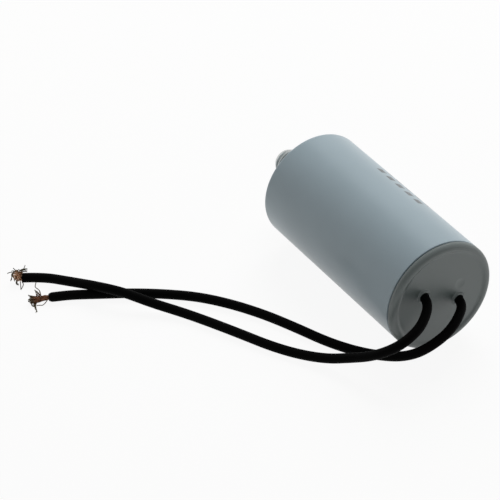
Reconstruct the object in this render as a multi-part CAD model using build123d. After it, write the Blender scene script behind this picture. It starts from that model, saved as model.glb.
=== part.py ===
from build123d import *
import os
from math import cos, pi, radians, sin, sqrt, tan

# Motor run capacitor: a moulded can with a stud moulded into its base, a lid with two lead collars,
# a potted film winding inside and two free leads with frayed copper ends.
# Sizes are in millimetres. The can lies on its side: its axis runs along X, the stud points to -X and
# the lid to +X. The origin is on the floor, below the middle of the body. The can and its inside are
# drawn about the X axis with x = 0 at the mounting face, and place() then moves them to that frame.

# Can
can_diameter = 30.0
can_length = 56.0
can_wall = 1.5
base_thickness = 2.5
base_edge_radius = 0.8
rim_chamfer = 0.15
boss_wall = 2.0
boss_height = 3.5

# Mounting stud, M8 outside the base
stud_diameter = 8.0
stud_length = 13.4
stud_tip_diameter = 6.0
stud_tip_length = 1.8
stud_neck_step = 0.5
stud_neck_length = 2.0
stud_head_across_flats = 13.0
stud_head_height = 2.5

# Lid
lid_height = 2.0
lid_plate = 1.6
lid_shoulder_radius = 1.4
lid_slope_width = 1.3
lid_recess = 0.5
seam_gap = 0.4
seam_depth = 0.7
spigot_length = 4.0
spigot_wall = 1.2
spigot_clearance = 0.05
spigot_lead_in = 0.5

# Lead collars on the lid, and the mark of the moulding gate
lead_spacing = 11.6
lead_tilt = 24.4
collar_lip = 0.2
collar_flank = 0.6
gate_mark_diameter = 3.0
gate_mark_depth = 0.15
gate_mark_place = (5.6, 2.0)

# Film winding with its core and its sprayed metal ends, and the room that it leaves in the can
winding_clearance = 1.0
far_gap = 3.0
near_gap = 7.8
core_bore = 4.0
core_wall = 1.0
spray_thickness = 0.6

# Inner ends of the leads
lead_embed = 2.0
lead_hole_clearance = 0.05
tail_diameter = 1.1
tail_straight = 1.9
tail_turn_gap = 1.4
tail_stand_off = 0.4
solder_core_gap = 0.2
solder_diameter = 3.6
solder_top_diameter = 1.8
solder_height = 2.0

# Free leads. Each leaves its collar straight, then follows its route to the end of the insulation.
# A route's points are (x from the mounting face, y from the can's axis, z from the floor).
lead_diameter = 2.4
lead_straight_out = 2.8
lead_a_route = [
    (63.8, -10.0, 15.2),
    (65.1, -14.2, 13.9),
    (64.7, -17.5, 12.1),
    (62.7, -20.3, 10.0),
    (59.5, -22.5, 7.4),
    (55.0, -24.7, 4.7),
    (50.0, -28.0, 2.4),
    (43.7, -32.1, 1.2),
    (37.1, -36.2, 1.2),
    (29.6, -39.7, 1.2),
    (21.7, -43.3, 1.2),
    (14.4, -47.6, 1.2),
    (7.6, -53.2, 3.4),
    (1.9, -58.2, 6.6),
    (-3.8, -62.6, 6.6),
    (-11.4, -66.2, 3.4),
    (-18.1, -70.5, 1.2),
    (-20.8, -74.8, 1.2),
]
lead_b_route = [
    (63.6, 1.2, 11.4),
    (64.3, -2.9, 9.6),
    (63.8, -6.8, 7.3),
    (61.8, -10.0, 4.6),
    (58.3, -12.9, 2.3),
    (53.8, -16.3, 1.2),
    (49.0, -20.0, 1.2),
    (42.6, -23.6, 1.2),
    (34.2, -26.9, 1.2),
    (25.4, -30.7, 1.2),
    (17.2, -35.5, 1.2),
    (10.0, -41.2, 1.2),
    (4.3, -48.1, 1.2),
    (-0.2, -54.7, 1.2),
    (-4.1, -61.8, 1.2),
    (-7.6, -68.0, 1.2),
    (-9.7, -73.4, 1.2),
]
arc_share = 0.45

# Frayed copper ends: a short bare neck, then strands that splay out of it
conductor_diameter = 1.3
strand_diameter = 0.28
strand_count = 13
strand_shares = (1.0, 0.7, 0.85)
strand_knee = 0.7
strand_floor_gap = 0.05
golden_turn = 137.5
bare_neck_a = 0.6
strand_length_a = 3.0
splay_a = (20.0, 125.0)
bare_neck_b = 2.0
strand_length_b = 3.4
splay_b = (10.0, 95.0)

# Sizes that follow from the ones above
can_radius = can_diameter / 2
cavity_radius = can_radius - can_wall
stud_neck_diameter = stud_diameter + 2 * stud_neck_step
boss_diameter = stud_head_across_flats / cos(radians(30)) + 2 * boss_wall
boss_top = base_thickness + boss_height
lid_crest = can_length + lid_height
lid_face = lid_crest - lid_recess
lid_underside = lid_face - lid_plate
spigot_radius = cavity_radius - spigot_clearance
spigot_bore = spigot_radius - spigot_wall
spigot_end = can_length - spigot_length
lead_hole_diameter = lead_diameter + 2 * lead_hole_clearance
collar_top_diameter = lead_hole_diameter + 2 * collar_lip
lead_inner_end = lid_underside - lead_embed
far_face = boss_top + far_gap
near_face = lead_inner_end - near_gap
winding_start = far_face + spray_thickness
winding_end = near_face - spray_thickness
winding_diameter = 2 * (cavity_radius - winding_clearance)
core_diameter = core_bore + 2 * core_wall
solder_reach = (core_diameter + solder_diameter) / 2 + solder_core_gap
lead_offset_y = lead_spacing / 2 * cos(radians(lead_tilt))
lead_offset_z = lead_spacing / 2 * sin(radians(lead_tilt))
body_middle = (lid_crest - stud_length) / 2

# Places of the two leads on the lid, as (y, z) from the can's axis
lead_a_place = (-lead_offset_y, lead_offset_z)
lead_b_place = (lead_offset_y, -lead_offset_z)


def place(shape):
    """Moves a shape from the can's axis to its place on the floor."""
    return Pos(-body_middle, 0, can_radius) * shape


def turned(*lines):
    """Solid turned about the X axis from a closed outline of (x, radius)."""
    return revolve(make_face(Curve() + lines), axis=Axis.X)


def rod(start, end, diameter, y=0.0, z=0.0):
    """Round bar parallel to the axis, between two places along it."""
    bar = Cylinder(diameter / 2, end - start, align=(Align.CENTER, Align.CENTER, Align.MIN))
    return Pos(start, y, z) * Rot(0, 90, 0) * bar


def arc_radii(points):
    """Radius at each corner of a route, as large as the two runs beside it allow."""
    radii = []
    for before, corner, after in zip(points, points[1:], points[2:]):
        run_in = Vector(corner) - Vector(before)
        run_out = Vector(after) - Vector(corner)
        turn = radians(run_in.get_angle(run_out))
        radii.append(arc_share * min(run_in.length, run_out.length) / tan(turn / 2))
    return radii


def tube(points, diameter):
    """Round bar along straight runs joined by tangent arcs, and the path it follows."""
    path = FilletPolyline(*points, radius=arc_radii(points))
    section = Plane(origin=path @ 0, z_dir=path % 0) * Circle(diameter / 2)
    return sweep(section, path=path), path


def fall(high_radius, low_radius):
    """Two arcs that fall smoothly from the height of the lid's rim to that of its face."""
    middle = (lid_crest - lid_recess / 2, (high_radius + low_radius) / 2)
    upper = TangentArc((lid_crest, high_radius), middle, tangent=(0, low_radius - high_radius))
    return upper, TangentArc(middle, (lid_face, low_radius), tangent=upper % 1)


def make_stud():
    """Steel stud: the threaded end outside, a neck through the base and a hexagon head in the boss."""
    shank = turned(
        Polyline(
            (-stud_length, 0),
            (-stud_length, stud_tip_diameter / 2),
            (stud_tip_length - stud_length, stud_diameter / 2),
            (0, stud_diameter / 2),
            (0, stud_neck_diameter / 2),
            (stud_neck_length, stud_neck_diameter / 2),
            (stud_neck_length, 0),
            (-stud_length, 0),
        )
    )
    flats = RegularPolygon(stud_head_across_flats / 2, 6, major_radius=False)
    head = Plane.YZ.offset(stud_neck_length) * flats
    return shank + extrude(head, amount=stud_head_height)


def make_can(stud):
    """Moulded cup, with a boss inside its base that is moulded round the stud's head."""
    edge_arc = RadiusArc(
        (0, can_radius - base_edge_radius), (base_edge_radius, can_radius), base_edge_radius
    )
    wall = Polyline(
        edge_arc @ 1,
        (can_length - rim_chamfer, can_radius),
        (can_length, can_radius - rim_chamfer),
        (can_length, cavity_radius),
        (base_thickness, cavity_radius),
        (base_thickness, boss_diameter / 2),
        (boss_top, boss_diameter / 2),
        (boss_top, 0),
        (0, 0),
        edge_arc @ 0,
    )
    return turned(edge_arc, wall) - stud


def make_lid():
    """Lid with a rounded shoulder, a face set a little below its rim, a spigot and two lead collars."""
    rim_radius = can_radius - lid_shoulder_radius
    shoulder = TangentArc(
        (lid_crest, rim_radius), (lid_crest - lid_shoulder_radius, can_radius), tangent=(0, 1)
    )
    slope = fall(rim_radius, rim_radius - lid_slope_width)
    underside = Polyline(
        shoulder @ 1,
        (can_length + seam_gap, can_radius),
        (can_length + seam_gap, can_radius - seam_depth),
        (can_length, can_radius - seam_depth),
        (can_length, spigot_radius),
        (spigot_end + spigot_lead_in, spigot_radius),
        (spigot_end, spigot_radius - spigot_lead_in),
        (spigot_end, spigot_bore),
        (lid_underside, spigot_bore),
        (lid_underside, 0),
        (lid_face, 0),
        slope[1] @ 1,
    )
    lid = turned(shoulder, *slope, underside)
    collar_top = collar_top_diameter / 2
    flank = fall(collar_top, collar_top + collar_flank)
    collar = turned(
        Polyline(flank[1] @ 1, (lid_underside, collar_top + collar_flank), (lid_underside, 0)),
        Polyline((lid_underside, 0), (lid_crest, 0), flank[0] @ 0),
        *flank,
    )
    for y, z in (lead_a_place, lead_b_place):
        lid += Pos(0, y, z) * collar
    for y, z in (lead_a_place, lead_b_place):
        lid -= rod(lid_underside, lid_crest, lead_hole_diameter, y, z)
    ball_radius = (gate_mark_diameter**2 / 4 + gate_mark_depth**2) / (2 * gate_mark_depth)
    gate_y, gate_z = gate_mark_place
    return lid - Pos(lid_face - gate_mark_depth + ball_radius, gate_y, gate_z) * Sphere(ball_radius)


def make_winding():
    """Core, film roll and the two sprayed metal ends, on the can's axis."""
    core = rod(far_face, near_face, core_diameter) - rod(far_face, near_face, core_bore)
    core_hole = rod(far_face, near_face, core_diameter)
    roll = rod(winding_start, winding_end, winding_diameter) - core_hole
    far_spray = rod(far_face, winding_start, winding_diameter) - core_hole
    near_spray = rod(winding_end, near_face, winding_diameter) - core_hole
    return core, roll, near_spray, far_spray


def make_tails():
    """Bare inner ends of the leads: one to the near spray, one through the core to the far spray."""
    a_y, a_z = lead_a_place
    b_y, b_z = lead_b_place
    near_tail = rod(near_face, lead_inner_end, tail_diameter, a_y, a_z)
    run_x = far_face - tail_diameter / 2 - tail_stand_off
    far_tail, _ = tube(
        [
            (lead_inner_end, b_y, b_z),
            (lead_inner_end - tail_straight, b_y, b_z),
            (near_face + tail_turn_gap, 0, 0),
            (run_x, 0, 0),
            (run_x, solder_reach, 0),
        ],
        tail_diameter,
    )
    return near_tail, far_tail


def make_solder(near_tail, far_tail):
    """Solder cone round the near tail, and a solder dome over the end of the far tail."""
    a_y, a_z = lead_a_place
    cone = turned(
        Polyline(
            (near_face, 0),
            (near_face, solder_diameter / 2),
            (near_face + solder_height, solder_top_diameter / 2),
            (near_face + solder_height, 0),
            (near_face, 0),
        )
    )
    near_joint = Pos(0, a_y, a_z) * cone - near_tail
    ball = Pos(far_face, solder_reach, 0) * Sphere(solder_diameter / 2)
    dome = ball - rod(far_face, far_face + solder_diameter, 2 * solder_diameter, solder_reach)
    return near_joint, dome - far_tail


def make_resin(inner_pieces):
    """Potting resin: all of the cavity that the other inner pieces leave."""
    filling = rod(base_thickness, spigot_end, 2 * cavity_radius)
    filling += rod(spigot_end, lid_underside, 2 * spigot_bore)
    filling -= rod(base_thickness, boss_top, boss_diameter)
    for y, z in (lead_a_place, lead_b_place):
        filling -= rod(lead_inner_end, lid_underside, lead_diameter, y, z)
    filling -= rod(far_face, near_face, winding_diameter) - rod(far_face, near_face, core_bore)
    for piece in inner_pieces:
        filling -= piece
    return filling


def make_lead(name, lid_place, route):
    """Insulated lead: straight through its collar, then along its route. Also gives its path."""
    inner_end = place(Pos(lead_inner_end, *lid_place)).position
    straight_end = place(Pos(lid_crest + lead_straight_out, *lid_place)).position
    points = [inner_end, straight_end] + [Vector(x - body_middle, y, z) for x, y, z in route]
    lead, path = tube(points, lead_diameter)
    section = pi * lead_diameter**2 / 4
    radii = ", ".join(f"{radius:.1f}" for radius in arc_radii(points))
    print(f"{name}: volume {lead.volume:.1f}, section times length {section * path.length:.1f}")
    print(f"{name}: length {path.length:.1f}, radii {radii}")
    return lead, path


def above_floor(point):
    """The same point, lifted where a strand there would lie under the floor."""
    return Vector(point.X, point.Y, max(point.Z, strand_diameter / 2 + strand_floor_gap))


def make_strands(path, neck_length, strand_length, splay):
    """Frayed copper end: a bare neck, and strands that leave it along the lead and then splay."""
    axis = path % 1
    side = axis.cross(Vector(0, 0, 1)).normalized()
    rise = side.cross(axis)
    neck = extrude(Plane(origin=path @ 1, z_dir=axis) * Circle(conductor_diameter / 2), neck_length)
    bundle_radius = conductor_diameter / 2 - strand_diameter
    for number in range(strand_count):
        share = number / (strand_count - 1)
        turn = radians(golden_turn * number)
        outward = side * cos(turn) + rise * sin(turn)
        angle = radians(splay[0] + (splay[1] - splay[0]) * share)
        length = strand_length * strand_shares[number % len(strand_shares)]
        root = path @ 1 + axis * neck_length / 2 + outward * bundle_radius * sqrt(share)
        knee = above_floor(root + axis * (neck_length / 2 + strand_knee))
        tip = above_floor(knee + (axis * cos(angle) + outward * sin(angle)) * length)
        strand, _ = tube([root, knee, tip], strand_diameter)
        neck += strand
    return neck


stud = make_stud()
core, roll, near_spray, far_spray = make_winding()
near_tail, far_tail = make_tails()
near_joint, far_joint = make_solder(near_tail, far_tail)
lead_a, path_a = make_lead("lead_a", lead_a_place, lead_a_route)
lead_b, path_b = make_lead("lead_b", lead_b_place, lead_b_route)

nodes = {
    "case": place(make_can(stud)),
    "mounting_stud": place(stud),
    "lid": place(make_lid()),
    "winding_core": place(core),
    "film_winding": place(roll),
    "end_spray_near": place(near_spray),
    "end_spray_far": place(far_spray),
    "solder_joint_near": place(near_joint),
    "solder_joint_far": place(far_joint),
    "lead_tail_a": place(near_tail),
    "lead_tail_b": place(far_tail),
    "potting_resin": place(make_resin([near_tail, far_tail, near_joint, far_joint])),
    "lead_a": lead_a,
    "lead_b": lead_b,
    "copper_strands_a": make_strands(path_a, bare_neck_a, strand_length_a, splay_a),
    "copper_strands_b": make_strands(path_b, bare_neck_b, strand_length_b, splay_b),
}

os.makedirs("parts", exist_ok=True)
for name, solid in nodes.items():
    export_step(solid, f"parts/{name}.step")
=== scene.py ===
"""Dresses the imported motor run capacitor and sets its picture: finishes, thread, leads and light."""

import logging
import math
import random
from dataclasses import dataclass, field
from enum import Enum

import bmesh
import bpy
from mathutils import Matrix, Vector
from mathutils.geometry import intersect_point_line

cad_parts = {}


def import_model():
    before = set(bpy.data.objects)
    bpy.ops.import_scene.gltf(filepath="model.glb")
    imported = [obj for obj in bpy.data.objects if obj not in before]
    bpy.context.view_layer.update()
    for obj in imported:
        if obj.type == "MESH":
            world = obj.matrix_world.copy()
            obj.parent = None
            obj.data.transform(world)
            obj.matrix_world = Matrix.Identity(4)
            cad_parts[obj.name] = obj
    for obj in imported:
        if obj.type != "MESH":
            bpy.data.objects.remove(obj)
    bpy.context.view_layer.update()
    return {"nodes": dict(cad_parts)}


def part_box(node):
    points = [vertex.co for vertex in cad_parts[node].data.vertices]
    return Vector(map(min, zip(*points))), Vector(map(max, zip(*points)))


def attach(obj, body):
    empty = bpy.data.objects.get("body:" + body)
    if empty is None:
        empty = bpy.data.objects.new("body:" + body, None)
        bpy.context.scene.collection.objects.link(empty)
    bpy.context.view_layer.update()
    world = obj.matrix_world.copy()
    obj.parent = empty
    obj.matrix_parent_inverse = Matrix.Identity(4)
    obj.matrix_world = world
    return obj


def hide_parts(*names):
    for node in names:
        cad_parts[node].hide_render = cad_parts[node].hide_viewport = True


LOG = logging.getLogger("capacitor")
MM = 0.001
# The attribute by which a piece darkens: olive on the strands' tips, grime and painted shade in the
# stud's thread roots.
WEATHERING_AND_SHADE = "weathering_and_shade"
WHITE = (1.0, 1.0, 1.0, 1.0)
BLACK = (0.0, 0.0, 0.0, 1.0)

Point = tuple[float, float, float]
Line = tuple[Point, ...]
Tree = bpy.types.NodeTree
Socket = bpy.types.NodeSocket
NodeInputs = dict[int | str, object]


class Body(Enum):
    """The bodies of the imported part."""

    ROOT = "root"


class Slot(Enum):
    """The record's material slots for the new pieces."""

    STUD = "stud_steel"
    LEAD = "lead_insulation"
    COPPER = "copper"


class FarEnd(Enum):
    """What is on a lead's far end."""

    BARE = "bare"


class Stiffness(Enum):
    """How a lead bends."""

    LIMP = "limp"


class Lay(Enum):
    """How a lead lies."""

    LOOSE = "loose"


def linear(colour: str) -> tuple[float, float, float, float]:
    """Turns an sRGB hex colour to linear light.

    Args:
        colour: six hex digits after a hash sign.

    Returns:
        Linear red, green, blue and full alpha.
    """
    parts = [int(colour[place : place + 2], 16) / 255 for place in (1, 3, 5)]
    light = [part / 12.92 if part <= 0.04045 else ((part + 0.055) / 1.055) ** 2.4 for part in parts]
    return (*light, 1.0)


def per_metre(size_mm: float) -> float:
    """Texture scale at which one cell of a pattern has this size in millimetres."""
    return 1000.0 / size_mm


def from_base(point_mm: Point, base_x: float) -> Vector:
    """Places a point of the leads in the part's frame.

    Args:
        point_mm: millimetres along X from the mounting face, Y from the can's axis, Z from the floor.
        base_x: the mounting face's place along X, in metres.

    Returns:
        The point in metres.
    """
    return Vector(point_mm) * MM + Vector((base_x, 0.0, 0.0))


def add_node(
    tree: Tree, kind: str, inputs: NodeInputs | None = None, **settings: object
) -> bpy.types.Node:
    """Adds a node with its settings, and fills its inputs with values or links.

    Args:
        tree: the material's or world's node tree.
        kind: the node's type name.
        inputs: socket names or numbers, each with a value or the output socket to link from.
        settings: properties of the node.

    Returns:
        The new node.
    """
    node = tree.nodes.new(kind)
    for name, value in settings.items():
        setattr(node, name, value)
    for socket, value in (inputs or {}).items():
        if isinstance(value, Socket):
            tree.links.new(value, node.inputs[socket])
        else:
            node.inputs[socket].default_value = value
    return node


@dataclass(frozen=True)
class Finish:
    """A surface finish, made as one procedural material."""

    name: str

    def make(self) -> bpy.types.Material:
        """Builds the material.

        Returns:
            The finished material.
        """
        material = bpy.data.materials.new(self.name)
        material.use_nodes = True
        tree = material.node_tree
        tree.nodes.clear()
        place = add_node(tree, "ShaderNodeTexCoord").outputs["Object"]
        shader = add_node(tree, "ShaderNodeBsdfPrincipled")
        self.shade(tree, place, shader)
        add_node(tree, "ShaderNodeOutputMaterial", {"Surface": shader.outputs["BSDF"]})
        return material

    def shade(self, tree: Tree, place: Socket, shader: bpy.types.Node) -> None:
        """Fills the shader's sockets.

        Args:
            tree: the material's node tree.
            place: object coordinates, in metres.
            shader: the material's principled shader.
        """
        raise NotImplementedError


@dataclass(frozen=True)
class MouldedPlastic(Finish):
    """Plastic out of a mould: an even colour with faint clouds, a satin skin and a fine grain."""

    light: str = "#606A69"
    dark: str = "#576160"
    cloud_mm: float = 9.0
    # A mould's grain is near 0.05 mm, too fine to show, so it is drawn coarser.
    grain_mm: float = 0.45
    grain_height_mm: float = 0.008
    grain_strength: float = 0.35
    roughness: tuple[float, float] = (0.38, 0.44)
    ior: float = 1.49
    specular: float = 1.0

    def shade(self, tree: Tree, place: Socket, shader: bpy.types.Node) -> None:
        """Clouds in the colour and roughness, grain in the bump."""
        cloud = add_node(
            tree,
            "ShaderNodeTexNoise",
            {"Vector": place, "Scale": per_metre(self.cloud_mm), "Detail": 3.0, "Roughness": 0.55},
        )
        gloss = add_node(
            tree,
            "ShaderNodeMapRange",
            {"Value": cloud.outputs["Fac"], "To Min": self.roughness[0], "To Max": self.roughness[1]},
        )
        grain = add_node(
            tree,
            "ShaderNodeTexNoise",
            {"Vector": place, "Scale": per_metre(self.grain_mm), "Detail": 2.0},
        )
        bump = add_node(
            tree,
            "ShaderNodeBump",
            {
                "Height": grain.outputs["Fac"],
                "Strength": self.grain_strength,
                "Distance": self.grain_height_mm * MM,
            },
        )
        tree.links.new(self.tint(tree, place, cloud.outputs["Fac"]), shader.inputs["Base Color"])
        tree.links.new(gloss.outputs[0], shader.inputs["Roughness"])
        tree.links.new(bump.outputs[0], shader.inputs["Normal"])
        shader.inputs["IOR"].default_value = self.ior
        shader.inputs["Specular IOR Level"].default_value = self.specular

    def tint(self, tree: Tree, place: Socket, cloud: Socket) -> Socket:
        """Lays the two greys of the plastic by its clouds.

        Args:
            tree: the material's node tree.
            place: object coordinates, in metres.
            cloud: the clouds' pattern.

        Returns:
            The colour's socket.
        """
        mix = add_node(
            tree,
            "ShaderNodeMix",
            {0: cloud, 6: linear(self.dark), 7: linear(self.light)},
            data_type="RGBA",
        )
        return mix.outputs[2]


@dataclass(frozen=True)
class PrintedPlastic(MouldedPlastic):
    """Moulded plastic with a block of faded ink on its far side, as rows of short plain bars."""

    ink: str = "#1F2628"
    axis_height_mm: float = 15.0
    can_radius_mm: float = 15.0
    # Where the block starts round the can and along it, and how its bars repeat.
    first_row_deg: float = 65.5
    start_mm: float = -4.5
    bar_pitch_mm: float = 4.0
    bar_count: int = 5
    row_pitch_mm: float = 3.8
    row_count: int = 4
    gap_mm: float = 1.9
    # The pattern's unit, and how soft the bars' edges are in it.
    cell_mm: float = 8.0
    edge_blur: float = 0.2
    # The size of the worn spots, which part of their pattern thins the ink, and how much ink is left.
    wear_mm: float = 0.6
    worn: tuple[float, float] = (0.3, 0.5)
    ink_left: tuple[float, float] = (0.65, 0.9)

    def tint(self, tree: Tree, place: Socket, cloud: Socket) -> Socket:
        """Lays the bars over the plastic, unrolled from the can's side, with worn spots in the ink."""
        plain = super().tint(tree, place, cloud)
        corner = (-self.start_mm * MM, 0.0, -self.axis_height_mm * MM)
        centred = add_node(tree, "ShaderNodeVectorMath", {0: place, 1: corner}, operation="ADD")
        axes = add_node(tree, "ShaderNodeSeparateXYZ", {0: centred.outputs[0]})
        along = axes.outputs["X"]
        angle = add_node(
            tree, "ShaderNodeMath", {0: axes.outputs["Z"], 1: axes.outputs["Y"]}, operation="ARCTAN2"
        )
        first_row = math.radians(self.first_row_deg)
        around = add_node(
            tree,
            "ShaderNodeMapRange",
            {
                "Value": angle.outputs[0],
                "From Min": first_row,
                "From Max": first_row - 1.0,
                "To Max": self.can_radius_mm * MM,
            },
            clamp=False,
        ).outputs[0]
        spread = add_node(tree, "ShaderNodeCombineXYZ", {"X": along, "Y": around})
        bars = add_node(
            tree,
            "ShaderNodeTexBrick",
            {
                "Vector": spread.outputs[0],
                "Color1": WHITE,
                "Color2": WHITE,
                "Mortar": BLACK,
                "Scale": per_metre(self.cell_mm),
                "Mortar Size": self.gap_mm / 2 / self.cell_mm,
                "Mortar Smooth": self.edge_blur,
                "Brick Width": self.bar_pitch_mm / self.cell_mm,
                "Row Height": self.row_pitch_mm / self.cell_mm,
            },
            offset=0.0,
        )
        half_length = self.bar_pitch_mm * self.bar_count / 2 * MM
        half_height = self.row_pitch_mm * self.row_count / 2 * MM
        in_length = add_node(
            tree, "ShaderNodeMath", {0: along, 1: half_length, 2: half_length}, operation="COMPARE"
        )
        in_height = add_node(
            tree, "ShaderNodeMath", {0: around, 1: half_height, 2: half_height}, operation="COMPARE"
        )
        wear = add_node(tree, "ShaderNodeTexNoise", {"Vector": place, "Scale": per_metre(self.wear_mm)})
        laid = add_node(
            tree,
            "ShaderNodeMapRange",
            {
                "Value": wear.outputs["Fac"],
                "From Min": self.worn[0],
                "From Max": self.worn[1],
                "To Min": self.ink_left[0],
                "To Max": self.ink_left[1],
            },
        )
        amount = laid.outputs[0]
        for part in (bars.outputs["Color"], in_length.outputs[0], in_height.outputs[0]):
            product = add_node(tree, "ShaderNodeMath", {0: amount, 1: part}, operation="MULTIPLY")
            amount = product.outputs[0]
        mix = add_node(
            tree,
            "ShaderNodeMix",
            {0: amount, 6: plain, 7: linear(self.ink)},
            data_type="RGBA",
        )
        return mix.outputs[2]


@dataclass(frozen=True)
class Insulation(Finish):
    """Extruded soft black PVC: nearly black, with a dull skin that shows faint draw marks."""

    light: str = "#080808"
    dark: str = "#040404"
    mark_mm: float = 1.6
    roughness: float = 0.6
    ior: float = 1.45
    specular: float = 0.03

    def shade(self, tree: Tree, place: Socket, shader: bpy.types.Node) -> None:
        """Dull black with faint marks."""
        marks = add_node(
            tree,
            "ShaderNodeTexNoise",
            {"Vector": place, "Scale": per_metre(self.mark_mm), "Detail": 3.0},
        )
        colour = add_node(
            tree,
            "ShaderNodeMix",
            {0: marks.outputs["Fac"], 6: linear(self.dark), 7: linear(self.light)},
            data_type="RGBA",
        )
        tree.links.new(colour.outputs[2], shader.inputs["Base Color"])
        shader.inputs["Roughness"].default_value = self.roughness
        shader.inputs["IOR"].default_value = self.ior
        shader.inputs["Specular IOR Level"].default_value = self.specular


@dataclass(frozen=True)
class DullMetal(Finish):
    """Bare metal under a thin uneven film of oxide: two tones in small patches, rougher where dark."""

    light: str
    dark: str
    patch_mm: float = 1.2
    # The part of the patches' pattern over which one tone goes to the other.
    patch_edge: tuple[float, float] = (0.35, 0.65)
    metallic: float = 1.0
    roughness: tuple[float, float] = (0.29, 0.4)

    def shade(self, tree: Tree, place: Socket, shader: bpy.types.Node) -> None:
        """Patches of oxide in the colour and roughness."""
        patches = add_node(
            tree,
            "ShaderNodeTexNoise",
            {"Vector": place, "Scale": per_metre(self.patch_mm), "Detail": 4.0, "Roughness": 0.6},
        )
        spread = add_node(
            tree,
            "ShaderNodeMapRange",
            {
                "Value": patches.outputs["Fac"],
                "From Min": self.patch_edge[0],
                "From Max": self.patch_edge[1],
            },
        )
        gloss = add_node(
            tree,
            "ShaderNodeMapRange",
            {"Value": spread.outputs[0], "To Min": self.roughness[1], "To Max": self.roughness[0]},
        )
        tree.links.new(self.tint(tree, spread.outputs[0]), shader.inputs["Base Color"])
        tree.links.new(gloss.outputs[0], shader.inputs["Roughness"])
        shader.inputs["Metallic"].default_value = self.metallic

    def tint(self, tree: Tree, patches: Socket) -> Socket:
        """Lays the two tones of the metal by its patches.

        Args:
            tree: the material's node tree.
            patches: the oxide's pattern.

        Returns:
            The colour's socket.
        """
        mix = add_node(
            tree,
            "ShaderNodeMix",
            {0: patches, 6: linear(self.dark), 7: linear(self.light)},
            data_type="RGBA",
        )
        return mix.outputs[2]


@dataclass(frozen=True)
class WeatheredShadedMetal(DullMetal):
    """Bare metal darker in places: dirt and painted shade in a thread's roots, olive at the tips of old
    copper.
    """

    # The olive of old copper; on the stud, the grime with painted shade in its thread's roots.
    dull_and_shade: str = "#4B4838"

    def tint(self, tree: Tree, patches: Socket) -> Socket:
        """Darkens the metal by the piece's own attribute: olive tips on strands, dirt and painted shade
        in a thread's roots.
        """
        clean = super().tint(tree, patches)
        weathering_and_shade = add_node(tree, "ShaderNodeAttribute", attribute_name=WEATHERING_AND_SHADE)
        mix = add_node(
            tree,
            "ShaderNodeMix",
            {0: weathering_and_shade.outputs["Fac"], 6: clean, 7: linear(self.dull_and_shade)},
            data_type="RGBA",
        )
        return mix.outputs[2]


# Moulded polypropylene, pale cool grey: a satin skin whose light fades softly round the can.
CASE_PLASTIC = PrintedPlastic(
    "case moulded polypropylene",
    light="#9CAFB8",
    dark="#92A5AE",
    cloud_mm=11.0,
    grain_height_mm=0.004,
    roughness=(0.28, 0.33),
    specular=0.85,
)
# The same plastic, darker and duller: a broad soft sheen on the shoulder and the rim.
LID_PLASTIC = MouldedPlastic("lid moulded polypropylene")
# Extruded polypropylene without pigment: milky white.
CORE_PLASTIC = MouldedPlastic("core extruded polypropylene", light="#E4E3DC", dark="#D9D8D0")
# Polyurethane cast in place: nearly black, and glossier than the moulded pieces.
CAST_RESIN = MouldedPlastic(
    "cast polyurethane resin", light="#2B2A29", dark="#222120", roughness=(0.28, 0.36)
)
# Steel with a zinc plate: a pale bright metal, with grime and painted shade that darken the roots of
# its thread.
ZINC_STEEL = WeatheredShadedMetal("zinc plated steel", light="#D2D5D4", dark="#BDC0BF", dull_and_shade="#6A6E6C")
# Clear film with a metal coat, wound tight: a silvery roll with wide faint clouds.
WOUND_FILM = DullMetal(
    "metallised film roll", light="#C9CCD0", dark="#AEB2B8", patch_mm=4.0, metallic=0.7
)
# Zinc sprayed on molten: a rough mottled grey.
SPRAYED_ZINC = DullMetal(
    "sprayed zinc", light="#9A9A98", dark="#747472", patch_mm=0.5, roughness=(0.55, 0.75)
)
# Soft solder that set slowly: a pale silver with a thin haze.
SOFT_SOLDER = DullMetal("soft solder", light="#CFCFCB", dark="#B4B4AF", patch_mm=1.5)
# Bare copper, a little tarnished: warm brown patches on a bright orange brown.
TAIL_COPPER = DullMetal("bare copper tail", light="#B9744C", dark="#8A5236", patch_mm=0.7)
# Copper strands bared not long ago: bright in the tangle, olive where they stray from it.
BRIGHT_STRAND = WeatheredShadedMetal(
    "bright copper strand", light="#E8C2A0", dark="#8C5230", patch_mm=0.7, roughness=(0.35, 0.5)
)
# Copper strands long bare: a brown skin of oxide that shines little, olive at the tips.
DULL_STRAND = WeatheredShadedMetal(
    "dull copper strand",
    light="#8A5C3E",
    dark="#4A2C19",
    dull_and_shade="#5C5542",
    patch_mm=0.7,
    metallic=0.5,
    roughness=(0.4, 0.6),
)
# Extruded soft PVC: a dull black with hardly a highlight.
BLACK_PVC = Insulation("black soft PVC")


def dress(piece: bpy.types.Object, finish: Finish) -> None:
    """Gives a piece or a carried-over node one finish on all its faces."""
    piece.data.materials.clear()
    piece.data.materials.append(finish.make())


def set_piece(piece: bpy.types.Object, finish: Finish, slot: Slot, *nodes: str) -> bpy.types.Object:
    """Dresses a new piece, lets it ride on the part and stand for the nodes it replaces.

    Args:
        piece: the new object, in place.
        finish: its finish.
        slot: the record's slot that the finish belongs to; not used.
        nodes: the CAD nodes that it stands for.

    Returns:
        The same object.
    """
    dress(piece, finish)
    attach(piece, Body.ROOT.value)
    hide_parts(*nodes)
    LOG.info("%s stands for %s", piece.name, ", ".join(nodes))
    return piece


def link_object(name: str, data: bpy.types.ID) -> bpy.types.Object:
    """Makes an object of a mesh, curve, lamp or camera and links it to the scene."""
    made = bpy.data.objects.new(name, data)
    bpy.context.scene.collection.objects.link(made)
    return made


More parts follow.
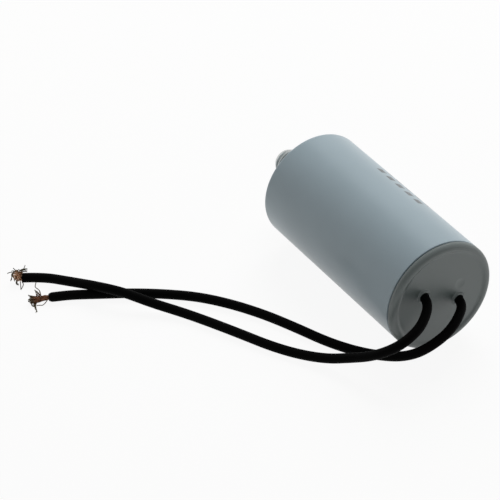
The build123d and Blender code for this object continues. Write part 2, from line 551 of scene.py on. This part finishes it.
def mesh_object(name: str, bm: bmesh.types.BMesh, sharp_deg: float = 35.0) -> bpy.types.Object:
    """Closes a bmesh into an object with smooth faces and sharp edges.

    Args:
        name: the piece's name.
        bm: its finished bmesh, which is freed.
        sharp_deg: edges that turn by more than this stay sharp.

    Returns:
        The new object.
    """
    bmesh.ops.recalc_face_normals(bm, faces=bm.faces)
    mesh = bpy.data.meshes.new(name)
    bm.to_mesh(mesh)
    bm.free()
    mesh.shade_smooth()
    mesh.set_sharp_from_angle(angle=math.radians(sharp_deg))
    return link_object(name, mesh)


def round_line(name: str, diameter: float, sides: int, steps: int) -> bpy.types.Curve:
    """Starts a curve whose lines are round bars with closed ends.

    Args:
        name: the curve's name.
        diameter: the bars' diameter in metres.
        sides: how finely the bars' sections are rounded.
        steps: how finely the bars' bends are rounded.

    Returns:
        The curve, with no line in it yet.
    """
    curve = bpy.data.curves.new(name, "CURVE")
    curve.dimensions = "3D"
    curve.bevel_depth = diameter / 2
    curve.bevel_resolution = sides
    curve.resolution_u = steps
    curve.use_fill_caps = True
    return curve


def add_line(curve: bpy.types.Curve, points: list[Vector]) -> bpy.types.Spline:
    """Adds one smooth line to a curve.

    Args:
        curve: the curve.
        points: the line's control points in metres.

    Returns:
        The new line.
    """
    spline = curve.splines.new("NURBS")
    spline.points.add(len(points) - 1)
    for control, point in zip(spline.points, points):
        control.co = (*point, 1.0)
    spline.order_u = 3
    spline.use_endpoint_u = True
    return spline


@dataclass
class MountingStud:
    """The M8 stud with its thread, its neck in the base and its head in the boss."""

    base_x: float
    axis_z: float
    diameter: float = 8.0 * MM
    pitch: float = 1.25 * MM
    # The thread's depth and where its flats lie, as shares of the pitch.
    thread_depth: float = 0.6134
    root_end: float = 0.25
    crest_start: float = 0.5625
    crest_end: float = 0.6875
    length: float = 13.4 * MM
    tip_diameter: float = 6.0 * MM
    tip_length: float = 1.8 * MM
    neck_diameter: float = 9.0 * MM
    neck_length: float = 2.0 * MM
    neck_sides: int = 64
    head_across_flats: float = 13.0 * MM
    head_height: float = 2.5 * MM
    head_sides: int = 6
    steps_per_turn: int = 40
    merge: float = 0.01 * MM

    def build(self) -> bpy.types.Object:
        """Builds the stud and dresses it.

        Returns:
            The finished piece.
        """
        bm = bmesh.new()
        bm.verts.layers.float.new(WEATHERING_AND_SHADE)
        self.add_thread(bm)
        self.add_round(bm, self.neck_diameter / 2, 0.0, self.neck_length, self.neck_sides)
        corner = self.head_across_flats / 2 / math.cos(math.pi / self.head_sides)
        head_end = self.neck_length + self.head_height
        self.add_round(bm, corner, self.neck_length, head_end, self.head_sides)
        bmesh.ops.translate(bm, verts=bm.verts, vec=(self.base_x, 0.0, self.axis_z))
        return set_piece(mesh_object("threaded_stud", bm), ZINC_STEEL, Slot.STUD, "mounting_stud")

    def add_thread(self, bm: bmesh.types.BMesh) -> None:
        """Spins a 60 degree thread profile along the shank, trims and closes it, and darkens its roots
        with dirt and painted shade.

        Args:
            bm: the stud's bmesh, drawn along X from the mounting face.
        """
        crest = self.diameter / 2
        root = crest - self.thread_depth * self.pitch
        profile = (
            (0.0, root),
            (self.root_end, root),
            (self.crest_start, crest),
            (self.crest_end, crest),
            (1.0, root),
        )
        turns = math.ceil(self.length / self.pitch) + 2
        start = -self.length - self.pitch
        verts = [bm.verts.new((start + x * self.pitch, r, 0.0)) for x, r in profile]
        edges = [bm.edges.new(pair) for pair in zip(verts, verts[1:])]
        bmesh.ops.spin(
            bm,
            geom=verts + edges,
            cent=(0.0, 0.0, 0.0),
            axis=(1.0, 0.0, 0.0),
            dvec=(self.pitch / self.steps_per_turn, 0.0, 0.0),
            angle=2 * math.pi * turns,
            steps=turns * self.steps_per_turn,
        )
        bmesh.ops.remove_doubles(bm, verts=bm.verts, dist=self.merge)
        sunk = self.neck_length / 2
        for x, normal in ((-self.length, (-1, 0, 0)), (sunk, (1, 0, 0))):
            geometry = bm.verts[:] + bm.edges[:] + bm.faces[:]
            bmesh.ops.bisect_plane(
                bm, geom=geometry, plane_co=(x, 0, 0), plane_no=normal, clear_outer=True
            )
        tip_slope = (self.diameter - self.tip_diameter) / 2 / self.tip_length
        # Grime and painted shade in the thread's roots: darker the deeper a point lies, and none on the
        # tip.
        grime_and_shade = bm.verts.layers.float[WEATHERING_AND_SHADE]
        for vert in bm.verts:
            radius = math.hypot(vert.co.y, vert.co.z)
            cone = self.tip_diameter / 2 + (vert.co.x + self.length) * tip_slope
            if radius > cone:
                vert.co.yz = vert.co.yz * cone / radius
            elif vert.co.x > self.tip_length - self.length:
                vert[grime_and_shade] = (crest - radius) / (crest - root)
        bmesh.ops.remove_doubles(bm, verts=bm.verts, dist=self.merge)
        bmesh.ops.dissolve_degenerate(bm, edges=bm.edges, dist=self.merge)
        bmesh.ops.holes_fill(bm, edges=[edge for edge in bm.edges if edge.is_boundary], sides=0)
        ends = [face for face in bm.faces if len(face.verts) > 4]
        bmesh.ops.triangulate(bm, faces=ends)

    def add_round(
        self, bm: bmesh.types.BMesh, radius: float, start: float, end: float, sides: int
    ) -> None:
        """Adds a closed bar along X.

        Args:
            bm: the stud's bmesh.
            radius: radius to the corners.
            start: where it starts along X.
            end: where it ends along X.
            sides: number of sides.
        """
        middle = Matrix.Translation(((start + end) / 2, 0.0, 0.0))
        bmesh.ops.create_cone(
            bm,
            cap_ends=True,
            segments=sides,
            radius1=radius,
            radius2=radius,
            depth=end - start,
            matrix=middle @ Matrix.Rotation(math.pi / 2, 4, "Y"),
        )


@dataclass
class Lead:
    """A free insulated lead: one smooth line through its route, out of its collar to its bare end."""

    name: str
    node: str
    base_x: float
    exit_mm: Point
    route_mm: Line
    length: float
    # How wide the line is at its last points and its first ones, as shares of its own width.
    end_radii: tuple[float, ...] = (1.0,)
    hole_radii: tuple[float, ...] = (0.96, 0.96)
    diameter: float = 2.5 * MM
    sunk_mm: float = 1.6
    frayed: list[bpy.types.Object] = field(default_factory=list)

    def build(self) -> bpy.types.Object:
        """Returns:
            The finished piece.
        """
        curve = round_line(self.name, self.diameter, sides=8, steps=16)
        x, y, z = self.exit_mm
        points = ((x - self.sunk_mm, y, z),) + self.route_mm
        spline = add_line(curve, [from_base(point, self.base_x) for point in points])
        for control, radius in zip(spline.points, self.hole_radii):
            control.radius = radius
        for control, radius in zip(reversed(spline.points), reversed(self.end_radii)):
            control.radius = radius
        lead = set_piece(link_object(self.name, curve), BLACK_PVC, Slot.LEAD, self.node)
        return lead


@dataclass(frozen=True)
class Station:
    """A place that the core's strands pass, along and up from the lead's end, and their spread."""

    along_mm: float
    up_mm: float
    spread_mm: float


@dataclass
class FrayedEnd:
    """The bare strands out of a lead's cut end: long ones that lie as seen, and a tangled core."""

    name: str
    node: str
    base_x: float
    end_mm: Point
    axis: Point
    long_strands: tuple[Line, ...]
    stations: tuple[Station, ...]
    # How far from the core's middle line the copper starts to dull, and where it is dull.
    brown_mm: tuple[float, float]
    finish: WeatheredShadedMetal
    seed: int
    core_count: int = 60
    strand_diameter: float = 0.22 * MM
    bundle_radius_mm: float = 0.6
    sunk_mm: float = 1.0
    floor_mm: float = 0.12

    def build(self) -> bpy.types.Object:
        """Builds every strand as a thin round line, and makes them one mesh.

        Returns:
            The finished piece.
        """
        curve = round_line(self.name, self.strand_diameter, sides=1, steps=5)
        draw = random.Random(self.seed)
        end = Vector(self.end_mm)
        for offsets in self.long_strands:
            self.add_strand(curve, [self.root(draw), *(end + Vector(offset) for offset in offsets)])
        for _ in range(self.core_count):
            points = [self.root(draw)]
            points += [self.stray(draw, place) for place in self.stations]
            self.add_strand(curve, points)
        drawn = link_object(self.name, curve)
        shaped = drawn.evaluated_get(bpy.context.evaluated_depsgraph_get())
        mesh = bpy.data.meshes.new_from_object(shaped)
        bpy.data.objects.remove(drawn)
        bpy.data.curves.remove(curve)
        mesh.shade_smooth()
        self.weather(mesh)
        return set_piece(link_object(self.name, mesh), self.finish, Slot.COPPER, self.node)

    def root(self, draw: random.Random) -> Vector:
        """Where a strand starts inside the insulation.

        Args:
            draw: the seeded source of chance.

        Returns:
            The point in millimetres.
        """
        axis = Vector(self.axis).normalized()
        side = axis.cross(Vector((0.0, 0.0, 1.0)))
        turn = draw.uniform(0.0, 2 * math.pi)
        out = self.bundle_radius_mm * math.sqrt(draw.random())
        across = side * math.cos(turn) + side.cross(axis) * math.sin(turn)
        return Vector(self.end_mm) - axis * self.sunk_mm + across * out

    def stray(self, draw: random.Random, station: Station) -> Vector:
        """Where a core strand passes a station.

        Args:
            draw: the seeded source of chance.
            station: the place and how far the strands stray there.

        Returns:
            The point in millimetres.
        """
        aside = Vector([draw.gauss(0.0, 1.0) for _ in range(3)]).normalized()
        # The cube root spreads the strands evenly through a ball.
        return self.middle(station) + aside * station.spread_mm * draw.random() ** (1 / 3)

    def middle(self, station: Station) -> Vector:
        """The middle of a station, in millimetres."""
        along = Vector(self.axis).normalized() * station.along_mm
        return Vector(self.end_mm) + along + Vector((0.0, 0.0, station.up_mm))

    def weather(self, mesh: bpy.types.Mesh) -> None:
        """Writes how dull the strands are, by how far they stray from the core's middle line.

        Args:
            mesh: the strands' mesh.
        """
        # The core's middle line ends at the last station but one, past which only tips go.
        line_ends = (self.stations[0], self.stations[-2])
        first, last = (from_base(self.middle(place), self.base_x) for place in line_ends)
        start, end = (limit * MM for limit in self.brown_mm)
        tones = mesh.attributes.new(WEATHERING_AND_SHADE, "FLOAT", "POINT")
        for vert, tone in zip(mesh.vertices, tones.data):
            share = intersect_point_line(vert.co, first, last)[1]
            reach = (vert.co - first.lerp(last, min(max(share, 0.0), 1.0))).length
            tone.value = min(max((reach - start) / (end - start), 0.0), 1.0)

    def add_strand(self, curve: bpy.types.Curve, points: list[Vector]) -> None:
        """Adds one strand as a smooth line that stays above the floor.

        Args:
            curve: the strands' curve.
            points: the strand's points, in millimetres.
        """
        lifted = [(point.x, point.y, max(point.z, self.floor_mm)) for point in points]
        add_line(curve, [from_base(point, self.base_x) for point in lifted])


@dataclass(frozen=True)
class SoftLamp:
    """A square soft lamp: where it stands and what it points at, in metres, its side and its power."""

    name: str
    place: Point
    target: Point
    size: float
    watts: float

    def build(self) -> None:
        """Builds the lamp, which neither the camera nor a reflection sees."""
        lamp = bpy.data.lights.new(self.name, "AREA")
        lamp.size = self.size
        lamp.energy = self.watts
        stand = link_object(self.name, lamp)
        stand.location = self.place
        aim = Vector(self.target) - Vector(self.place)
        stand.rotation_euler = aim.to_track_quat("-Z", "Y").to_euler()
        stand.visible_camera = False
        stand.visible_glossy = False


# One wide lamp, high and behind the stud's end.
LAMPS = (SoftLamp("back key", (-0.45, 0.45, 0.64), (0.0, 0.0, 0.0), 0.6, 6.9),)


@dataclass
class Studio:
    """A plain pale floor, a white surround, soft lamps and the camera."""

    floor_size: float = 6.0
    floor_colour: str = "#F4F4F2"
    floor_drop: float = 0.00005
    # How white the floor shows, and how much light the surround gives.
    floor_wash: float = 0.92
    surround: float = 0.22
    # Where the camera's side lies, how squarely a reflection faces it when dimmest, and how dim it is.
    front: Point = (0.85, -0.53, 0.0)
    front_square: float = 0.6
    front_mirrored: float = 0.3
    camera_place: Point = (0.42328, -0.29723, 0.38384)
    azimuth_deg: float = 58.04
    elevation_deg: float = 36.08
    lens_mm: float = 179.5
    sensor_mm: float = 36.0
    nearest: float = 0.01
    farthest: float = 20.0

    def build(self) -> None:
        """Builds the floor, the light and the camera."""
        self.add_floor()
        self.add_surround()
        for lamp in LAMPS:
            lamp.build()
        self.add_camera()
        bpy.context.scene.view_settings.view_transform = "Standard"

    def shown(self, tree: Tree, mirrored: float | Socket) -> Socket:
        """Tells rays that show the white background from rays that light the object.

        Args:
            tree: the floor's or the world's node tree.
            mirrored: how much of the white a reflection shows.

        Returns:
            1 for rays of the camera or through glass, and as told for those of a reflection.
        """
        path = add_node(tree, "ShaderNodeLightPath")
        shown = add_node(
            tree,
            "ShaderNodeMath",
            {0: path.outputs["Is Glossy Ray"], 1: mirrored},
            operation="MULTIPLY",
        ).outputs[0]
        for kind in ("Is Camera Ray", "Is Transmission Ray"):
            shown = add_node(
                tree, "ShaderNodeMath", {0: shown, 1: path.outputs[kind]}, operation="MAXIMUM"
            ).outputs[0]
        return shown

    def add_floor(self) -> None:
        """A wide plane that shows the object's shadow, washed pale where it is seen."""
        bm = bmesh.new()
        bmesh.ops.create_grid(bm, x_segments=1, y_segments=1, size=self.floor_size / 2)
        bmesh.ops.translate(bm, verts=bm.verts, vec=(0.0, 0.0, -self.floor_drop))
        floor = mesh_object("floor", bm)
        material = bpy.data.materials.new("pale floor")
        material.use_nodes = True
        tree = material.node_tree
        tree.nodes.clear()
        matt = add_node(tree, "ShaderNodeBsdfDiffuse", {"Color": linear(self.floor_colour)})
        glow = add_node(tree, "ShaderNodeEmission", {"Color": WHITE, "Strength": 1.0})
        shown = self.shown(tree, 1.0)
        wash = add_node(tree, "ShaderNodeMath", {0: shown, 1: self.floor_wash}, operation="MULTIPLY")
        mix = add_node(
            tree,
            "ShaderNodeMixShader",
            {0: wash.outputs[0], 1: matt.outputs[0], 2: glow.outputs[0]},
        )
        add_node(tree, "ShaderNodeOutputMaterial", {"Surface": mix.outputs[0]})
        floor.data.materials.append(material)

    def add_surround(self) -> None:
        """White all round where it is seen, but dimmer in reflections of the camera's side."""
        world = bpy.data.worlds.new("white surround")
        world.use_nodes = True
        tree = world.node_tree
        tree.nodes.clear()
        heading = add_node(tree, "ShaderNodeTexCoord").outputs["Generated"]
        frontal = add_node(
            tree, "ShaderNodeVectorMath", {0: heading, 1: self.front}, operation="DOT_PRODUCT"
        )
        mirrored = add_node(
            tree,
            "ShaderNodeMapRange",
            {
                "Value": frontal.outputs["Value"],
                "From Max": self.front_square,
                "To Min": 1.0,
                "To Max": self.front_mirrored,
            },
        )
        shown = self.shown(tree, mirrored.outputs[0])
        strength = add_node(
            tree, "ShaderNodeMapRange", {"Value": shown, "To Min": self.surround, "To Max": 1.0}
        )
        glow = add_node(tree, "ShaderNodeBackground", {"Color": WHITE, "Strength": strength.outputs[0]})
        add_node(tree, "ShaderNodeOutputWorld", {"Surface": glow.outputs[0]})
        bpy.context.scene.world = world

    def add_camera(self) -> None:
        """Sets the camera at the photograph's angle."""
        data = bpy.data.cameras.new("camera")
        data.lens = self.lens_mm
        data.sensor_width = self.sensor_mm
        data.clip_start, data.clip_end = self.nearest, self.farthest
        camera = link_object("camera", data)
        turn, rise = math.radians(self.azimuth_deg), math.radians(self.elevation_deg)
        level = math.cos(rise)
        back = Vector((math.sin(turn) * level, -math.cos(turn) * level, math.sin(rise)))
        camera.location = self.camera_place
        camera.rotation_euler = (-back).to_track_quat("-Z", "Y").to_euler()
        bpy.context.scene.camera = camera


LEAD_A_EXIT: Point = (58.0, -5.282, 17.396)
LEAD_B_EXIT: Point = (58.0, 5.282, 12.604)

LEAD_A_ROUTE: Line = (
    (60.0, -5.28, 17.4),
    (64.1, -10.0, 15.2),
    (65.4, -14.1, 13.9),
    (65.0, -17.4, 12.1),
    (63.0, -20.2, 9.9),
    (59.7, -22.4, 7.3),
    (55.0, -24.7, 4.7),
    (50.0, -28.0, 2.4),
    (43.7, -32.1, 1.25),
    (37.1, -36.3, 1.25),
    (29.6, -39.8, 1.25),
    (21.8, -43.6, 1.25),
    (14.4, -47.5, 1.25),
    (7.6, -53.2, 2.4),
    (2.0, -58.3, 4.3),
    (-3.7, -62.7, 4.3),
    (-11.3, -66.4, 2.4),
    (-18.0, -70.6, 1.25),
    (-20.6, -75.4, 1.25),
)

LEAD_B_ROUTE: Line = (
    (59.8, 5.28, 12.6),
    (63.2, 1.2, 11.4),
    (64.6, -2.8, 9.6),
    (64.1, -6.7, 7.3),
    (62.1, -9.9, 4.6),
    (58.5, -12.8, 2.3),
    (53.8, -16.3, 1.25),
    (49.1, -20.1, 1.25),
    (42.7, -23.7, 1.25),
    (34.2, -27.0, 1.25),
    (25.5, -30.8, 1.25),
    (17.3, -35.6, 1.25),
    (10.1, -41.3, 1.25),
    (4.4, -48.2, 1.25),
    (-0.1, -54.8, 1.25),
    (-4.0, -61.9, 1.25),
    (-7.5, -68.1, 1.25),
    (-9.1, -72.3, 1.25),
    (-9.4, -73.0, 1.25),
    (-9.6, -73.5, 1.25),
)

CORE_A: tuple[Station, ...] = (
    Station(0.1, 0.1, 0.7),
    Station(0.8, 0.7, 1.1),
    Station(1.0, 0.8, 1.5),
    Station(1.0, 0.8, 1.7),
)

CORE_B: tuple[Station, ...] = (
    Station(0.4, 0.0, 0.8),
    Station(1.6, -0.1, 0.9),
    Station(3.0, -0.2, 1.0),
    Station(4.2, -0.3, 1.2),
)

# The long strands, as points from the lead's cut end in millimetres.
STRANDS_A: tuple[Line, ...] = (
    ((-0.8, 0.5, 0.5), (-0.9, 0.8, 1.1), (-1.2, 1.4, 1.9), (-1.3, 1.8, 2.5)),
    ((-1.3, -0.1, 0.8), (-1.4, 0.3, 1.4), (-1.1, 0.9, 1.8), (-0.5, 1.7, 1.9)),
    ((-1.0, 0.2, 0.5), (-0.8, 0.5, 1.1), (-0.4, 0.9, 1.4), (0.2, 1.4, 1.6)),
    ((-0.9, 0.0, 0.4), (-1.8, -0.5, 1.1), (-2.3, -0.7, 1.4), (-2.7, -1.0, 1.8)),
    ((-1.0, -0.2, 0.4), (-2.0, -0.7, 1.1), (-2.6, -1.2, 1.1), (-2.8, -1.5, 0.9)),
    ((-0.9, -0.2, 0.2), (-2.1, -1.4, 0.8), (-2.5, -2.1, 1.1), (-2.6, -2.8, 0.8)),
    ((-0.8, -0.3, 0.2), (-2.1, -1.5, 0.8), (-2.1, -1.9, 0.5), (-1.8, -2.0, 0.1)),
    ((-0.8, -0.3, -0.1), (-1.7, -1.6, 0.4), (-1.5, -2.3, -0.2), (-1.1, -2.7, -0.7)),
    ((-0.7, -0.3, -0.2), (-1.2, -1.3, -0.1), (-1.1, -1.8, -0.3), (-0.7, -1.8, -0.9)),
    ((-0.5, -0.3, -0.2), (-0.7, -1.1, -0.6), (-0.4, -1.6, -1.1), (0.6, -1.9, -1.2), (0.8, -1.5, -1.2)),
    ((-0.4, 0.0, -0.2), (-0.1, -0.5, -0.7), (0.9, -0.9, -1.2), (3.0, -1.9, -1.2)),
    ((-0.3, 0.0, -0.2), (0.4, -0.2, -1.0), (1.2, -0.2, -1.2), (2.1, -0.9, -1.2), (2.9, -1.8, -1.2)),
    ((-0.8, 0.1, 1.6), (-0.6, 0.6, 1.9), (-0.3, 1.2, 2.1), (-0.2, 1.8, 2.1)),
    ((-0.6, 0.0, 1.6), (-0.5, 0.7, 1.9), (-0.1, 1.2, 1.9), (0.1, 1.7, 1.9)),
    ((-0.6, 0.1, 1.4), (-0.2, 0.7, 1.6), (0.1, 1.1, 1.8), (0.6, 1.3, 1.8)),
    ((-0.4, -1.0, -0.4), (0.0, -1.4, -0.8), (0.5, -1.8, -1.1), (1.0, -1.5, -1.1)),
    ((-0.4, -1.1, -0.4), (-0.1, -1.5, -0.8), (0.1, -1.7, -1.1), (0.6, -1.3, -1.1)),
    ((-1.9, -0.9, 1.4), (-2.0, -1.5, 1.1), (-1.6, -1.9, 0.6), (-1.1, -1.8, -0.1)),
    ((-1.8, -0.7, 1.4), (-2.0, -1.3, 1.2), (-1.6, -1.7, 0.8), (-1.0, -1.7, 0.1)),
    ((-0.5, -1.5, -0.3), (-0.9, -1.8, -0.1), (-1.4, -1.9, 0.4), (-1.7, -1.7, 0.9)),
    ((-1.6, -1.1, 1.1), (-1.9, -1.7, 0.8), (-1.6, -2.1, 0.1), (-1.2, -2.4, -0.6)),
)

STRANDS_B: tuple[Line, ...] = (
    (
        (-0.6, -0.8, -0.2),
        (-1.4, -1.7, 0.2),
        (-1.9, -1.3, 0.9),
        (-2.4, -1.4, 1.4),
        (-3.2, -2.0, 1.9),
        (-3.4, -2.0, 2.2),
        (-3.7, -1.5, 3.0),
    ),
    ((-0.7, -0.9, -0.2), (-1.7, -1.9, 0.5), (-2.3, -2.0, 1.1), (-2.8, -2.5, 1.6)),
    ((-0.7, -0.9, -0.2), (-1.9, -2.3, 0.2), (-2.3, -1.9, 0.8), (-2.6, -2.1, 1.1)),
    ((-0.7, -1.0, -0.2), (-2.0, -2.9, -0.2), (-2.7, -3.7, 0.1), (-3.2, -4.2, 0.4)),
    ((-0.7, -1.0, -0.2), (-2.0, -3.2, -0.2), (-2.4, -4.0, 0.1), (-2.7, -4.1, 0.5)),
    ((-0.6, -1.0, -0.5), (-1.9, -3.3, -0.5), (-2.2, -4.1, -0.6), (-2.5, -4.1, -0.1)),
    ((-0.6, -1.0, -0.5), (-1.5, -3.2, -0.7), (-1.7, -4.2, -1.1), (-0.7, -4.6, -1.1)),
    ((-0.5, -1.1, -0.6), (-1.3, -3.0, -0.8), (-1.1, -3.9, -1.2), (0.1, -4.4, -1.2)),
    ((-0.5, -1.1, -0.6), (-1.2, -2.9, -0.9), (-0.2, -3.9, -1.1), (1.8, -4.4, -1.2), (2.6, -5.1, -1.1)),
    ((-0.5, -1.1, -0.6), (-1.0, -2.8, -0.9), (-0.3, -3.6, -1.1), (0.7, -4.3, -1.2), (2.3, -4.7, -1.2)),
    ((-0.1, -0.2, -0.5), (0.1, -0.8, -1.0), (0.9, -2.2, -1.2), (0.3, -2.8, -1.2), (0.1, -3.6, -1.2)),
    ((-0.6, -0.7, -0.2), (-1.1, -1.3, 0.2), (-1.4, -1.8, 0.5), (-1.8, -1.9, 1.1)),
    ((-1.0, -2.6, -0.2), (-1.7, -3.7, -0.2), (-1.7, -4.3, -0.4), (-1.0, -4.5, -0.8), (0.0, -4.6, -1.1)),
    ((-1.2, -2.5, -0.1), (-1.9, -3.6, 0.1), (-2.1, -4.2, -0.1), (-1.3, -4.4, -0.6), (-0.4, -4.6, -1.1)),
    ((-1.0, -2.6, -0.2), (-1.4, -3.5, -0.3), (-1.4, -4.3, -0.4), (-0.7, -4.5, -0.9), (0.0, -4.5, -1.1)),
    ((-1.0, -2.6, 0.1), (-2.0, -3.5, 0.2), (-2.5, -4.1, 0.2), (-1.9, -4.3, -0.2), (-1.0, -4.5, -0.8)),
    ((-0.5, -2.3, -0.4), (-0.8, -3.1, -0.6), (-0.5, -3.9, -0.9), (0.2, -4.1, -1.1), (1.3, -4.4, -1.1)),
    ((-0.5, -2.3, -0.4), (-0.8, -3.0, -0.6), (-0.2, -3.7, -0.9), (1.1, -4.3, -1.0), (2.5, -4.7, -1.1)),
    ((-0.5, -2.3, -0.4), (-1.0, -3.2, -0.6), (-0.4, -4.1, -0.9), (0.6, -4.4, -1.0), (1.4, -4.6, -1.1)),
    ((-0.8, -2.1, 0.1), (-1.4, -2.6, 0.4), (-1.9, -2.5, 1.1), (-2.4, -2.5, 1.6)),
    ((-0.8, -2.1, 0.1), (-1.5, -2.7, 0.4), (-1.9, -2.5, 1.1), (-2.2, -2.4, 1.5)),
    ((-0.4, -1.4, 0.1), (-1.1, -2.1, 0.4), (-1.6, -2.0, 1.1), (-2.1, -2.2, 1.5)),
    ((-0.5, -1.1, 0.1), (-1.0, -1.7, 0.4), (-1.4, -1.5, 0.9), (-1.9, -1.6, 1.3)),
    ((-1.3, -2.4, 0.1), (-2.1, -3.4, 0.4), (-2.6, -3.8, 0.4), (-2.7, -4.3, 0.4)),
)

NODE_FINISHES: dict[str, Finish] = {
    "case": CASE_PLASTIC,
    "lid": LID_PLASTIC,
    "winding_core": CORE_PLASTIC,
    "film_winding": WOUND_FILM,
    "end_spray_near": SPRAYED_ZINC,
    "end_spray_far": SPRAYED_ZINC,
    "solder_joint_near": SOFT_SOLDER,
    "solder_joint_far": SOFT_SOLDER,
    "lead_tail_a": TAIL_COPPER,
    "lead_tail_b": TAIL_COPPER,
    "potting_resin": CAST_RESIN,
}


def main() -> None:
    """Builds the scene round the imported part."""
    logging.basicConfig(level=logging.INFO)
    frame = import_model()
    case_low, case_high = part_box("case")
    Studio().build()
    frayed_a = FrayedEnd(
        name="frayed_end_a",
        node="copper_strands_a",
        base_x=case_low.x,
        end_mm=LEAD_A_ROUTE[-1],
        axis=(-2.6, -4.8, 0.0),
        long_strands=STRANDS_A,
        stations=CORE_A,
        brown_mm=(0.9, 1.6),
        finish=BRIGHT_STRAND,
        seed=7,
    ).build()
    frayed_b = FrayedEnd(
        name="frayed_end_b",
        node="copper_strands_b",
        base_x=case_low.x,
        end_mm=LEAD_B_ROUTE[-1],
        axis=(-1.9, -4.9, 0.0),
        long_strands=STRANDS_B,
        stations=CORE_B,
        brown_mm=(0.9, 1.8),
        finish=DULL_STRAND,
        seed=11,
    ).build()
    Lead(
        name="flexible_lead_a",
        node="lead_a",
        base_x=case_low.x,
        exit_mm=LEAD_A_EXIT,
        route_mm=LEAD_A_ROUTE,
        length=0.125,
        frayed=[frayed_a],
    ).build()
    Lead(
        name="flexible_lead_b",
        node="lead_b",
        base_x=case_low.x,
        exit_mm=LEAD_B_EXIT,
        route_mm=LEAD_B_ROUTE,
        length=0.122,
        end_radii=(1.0, 0.98, 0.7),
        frayed=[frayed_b],
    ).build()
    MountingStud(base_x=case_low.x, axis_z=(case_low.z + case_high.z) / 2).build()
    for node, finish in NODE_FINISHES.items():
        dress(frame["nodes"][node], finish)
        LOG.info("%s has the finish %s", node, finish.name)


if __name__ == "__main__":
    main()
